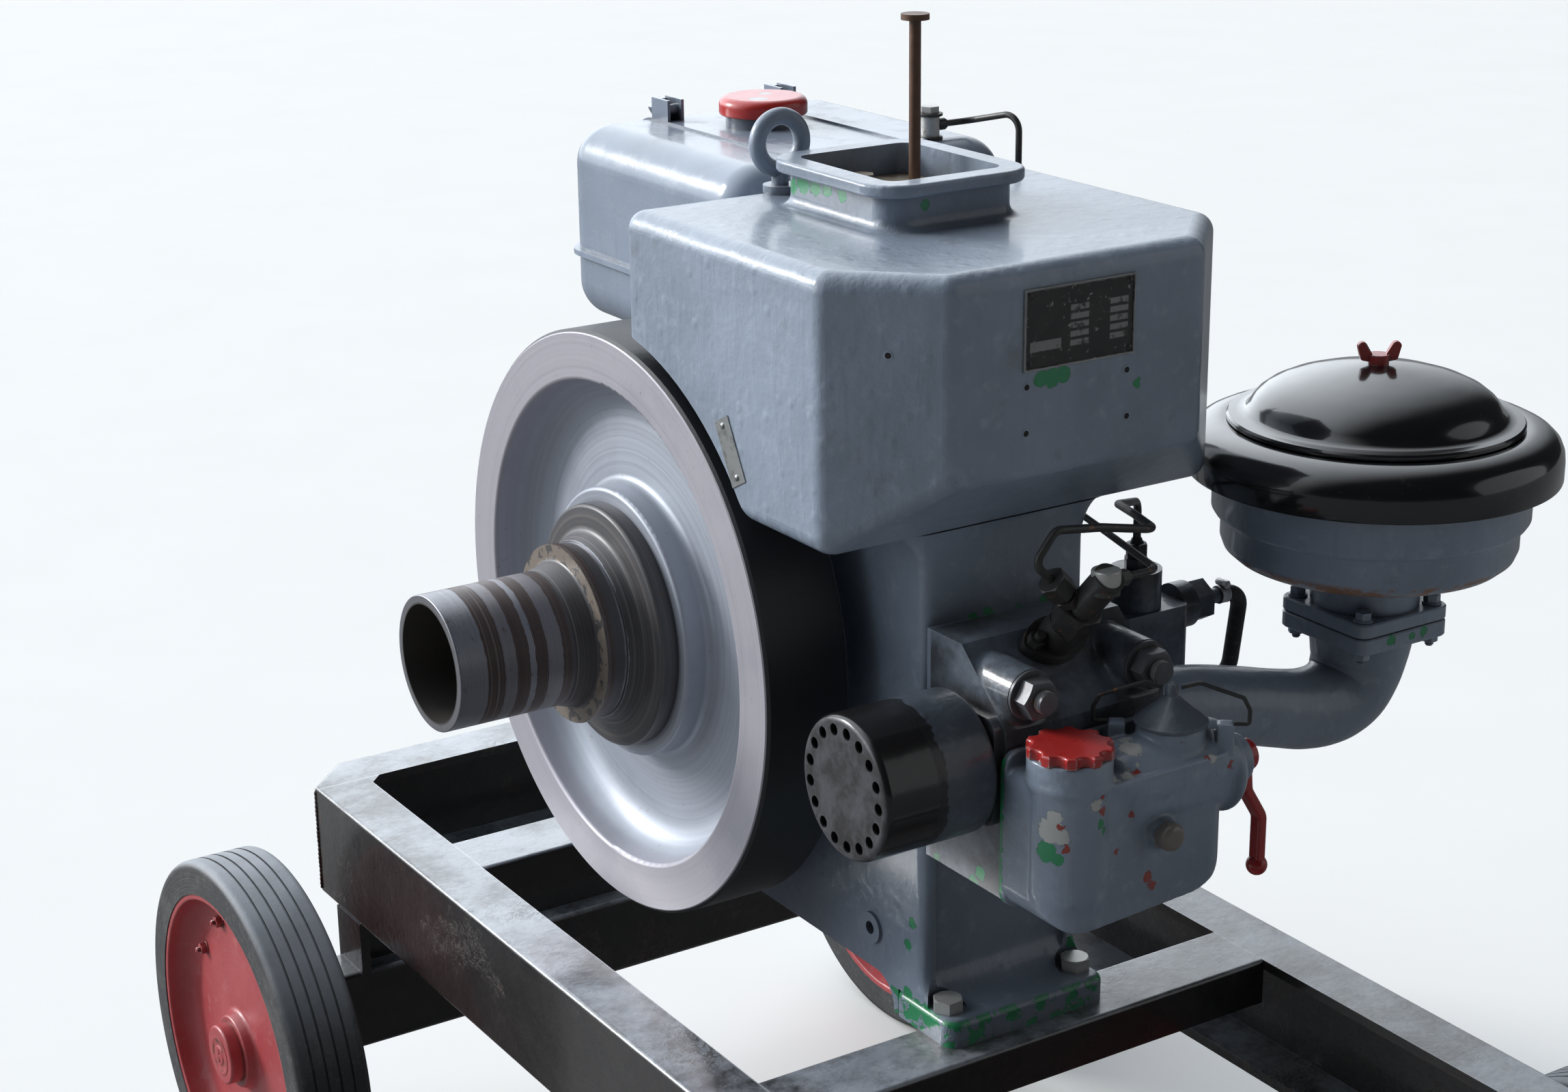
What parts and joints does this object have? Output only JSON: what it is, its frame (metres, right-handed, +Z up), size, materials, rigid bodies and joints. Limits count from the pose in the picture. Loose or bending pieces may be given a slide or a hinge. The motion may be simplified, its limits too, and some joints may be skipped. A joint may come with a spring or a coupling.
{
  "type": "stationary diesel engine",
  "caption": "Horizontal stationary diesel engine with water hopper, flywheel, fuel tank and air cleaner, bolted to a four-wheeled steel trolley.",
  "frame": {"origin": "middle of the whole machine's footprint, on the ground", "axes": "+X along the crankshaft, from the output tube to the air cleaner; +Y from the cylinder head to the fuel tank, the trolley's length; +Z up"},
  "size_m": [0.976, 1.486, 1.268],
  "materials": {
    "blue_grey_paint": "semi-gloss, chipped to green undercoat",
    "black_frame_paint": "gloss black, brushed, rusty",
    "gloss_black_paint": "gloss black",
    "red_paint": "gloss red, chipped",
    "red_wheel_paint": "faded red",
    "tyre_rubber": "dusty",
    "hose_rubber": "matt",
    "machined_iron": "turned, light grey",
    "turned_steel": "turned, with rust-brown bands",
    "zinc_steel": "zinc plated",
    "oily_steel": "oily",
    "wet_iron": "stained",
    "rusty_steel": "rust-brown",
    "plate_aluminium": "bare, worn"
  },
  "bodies": {
    "trolley_and_engine": {"left_beam": "black_frame_paint", "right_beam": "black_frame_paint", "front_rail": "black_frame_paint", "rear_rail": "black_frame_paint", "front_bearer": "black_frame_paint", "rear_bearer": "black_frame_paint", "front_axle": "black_frame_paint", "rear_axle": "black_frame_paint", "cylinder_block": "blue_grey_paint", "bearing_cover": "blue_grey_paint", "side_cover": "blue_grey_paint", "rear_cover": "blue_grey_paint", "cylinder_head": "blue_grey_paint", "rocker_cover": "blue_grey_paint", "lifting_eye": "blue_grey_paint", "cone_cap": "blue_grey_paint", "exhaust_pot": "blue_grey_paint", "intake_elbow": "blue_grey_paint", "cleaner_bowl": "blue_grey_paint", "fuel_tank": "blue_grey_paint", "tank_saddle": "blue_grey_paint", "injection_pump": "blue_grey_paint", "tank_straps": "blue_grey_paint", "exhaust_cap": "gloss_black_paint", "cleaner_brim": "gloss_black_paint", "cleaner_lid": "gloss_black_paint", "star_cap": "red_paint", "tank_cap": "red_paint", "wing_nut": "red_paint", "foot_bolts": "zinc_steel", "head_nuts": "zinc_steel", "tank_banjo": "zinc_steel", "neck_floor": "wet_iron", "level_rod": "rusty_steel", "hopper_plates": "plate_aluminium", "injector": "oily_steel", "injection_pipe": "oily_steel", "return_pipe": "oily_steel", "cap_bail": "oily_steel", "fuel_filter": "blue_grey_paint", "fuel_hose": "hose_rubber"},
    "rotor": {"flywheel": "machined_iron", "output_tube": "turned_steel", "crankshaft": "machined_iron"},
    "lever": {"decompression_lever": "red_paint"},
    "wheel_front_left": {"tyre_front_left": "tyre_rubber", "disc_front_left": "red_wheel_paint"},
    "wheel_front_right": {"tyre_front_right": "tyre_rubber", "disc_front_right": "red_wheel_paint"},
    "wheel_rear_left": {"tyre_rear_left": "tyre_rubber", "disc_rear_left": "red_wheel_paint"},
    "wheel_rear_right": {"tyre_rear_right": "tyre_rubber", "disc_rear_right": "red_wheel_paint"}
  },
  "joints": [
    {"name": "crank_turn", "type": "hinge", "parent": "trolley_and_engine", "child": "rotor", "pos_m": [-0.1875, 0.16, 0.73], "axis": [1, 0, 0], "continuous": true},
    {"name": "front_left_wheel_turn", "type": "hinge", "parent": "trolley_and_engine", "child": "wheel_front_left", "pos_m": [-0.4445, -0.543, 0.2], "axis": [1, 0, 0], "continuous": true},
    {"name": "front_right_wheel_turn", "type": "hinge", "parent": "trolley_and_engine", "child": "wheel_front_right", "pos_m": [0.3695, -0.543, 0.2], "axis": [1, 0, 0], "continuous": true},
    {"name": "rear_left_wheel_turn", "type": "hinge", "parent": "trolley_and_engine", "child": "wheel_rear_left", "pos_m": [-0.4445, 0.543, 0.2], "axis": [1, 0, 0], "continuous": true},
    {"name": "rear_right_wheel_turn", "type": "hinge", "parent": "trolley_and_engine", "child": "wheel_rear_right", "pos_m": [0.3695, 0.543, 0.2], "axis": [1, 0, 0], "continuous": true},
    {"name": "decompression_swing", "type": "hinge", "parent": "trolley_and_engine", "child": "lever", "pos_m": [0.0925, -0.32, 0.694], "axis": [1, 0, 0], "range_deg": [-40, 50]}
  ]
}
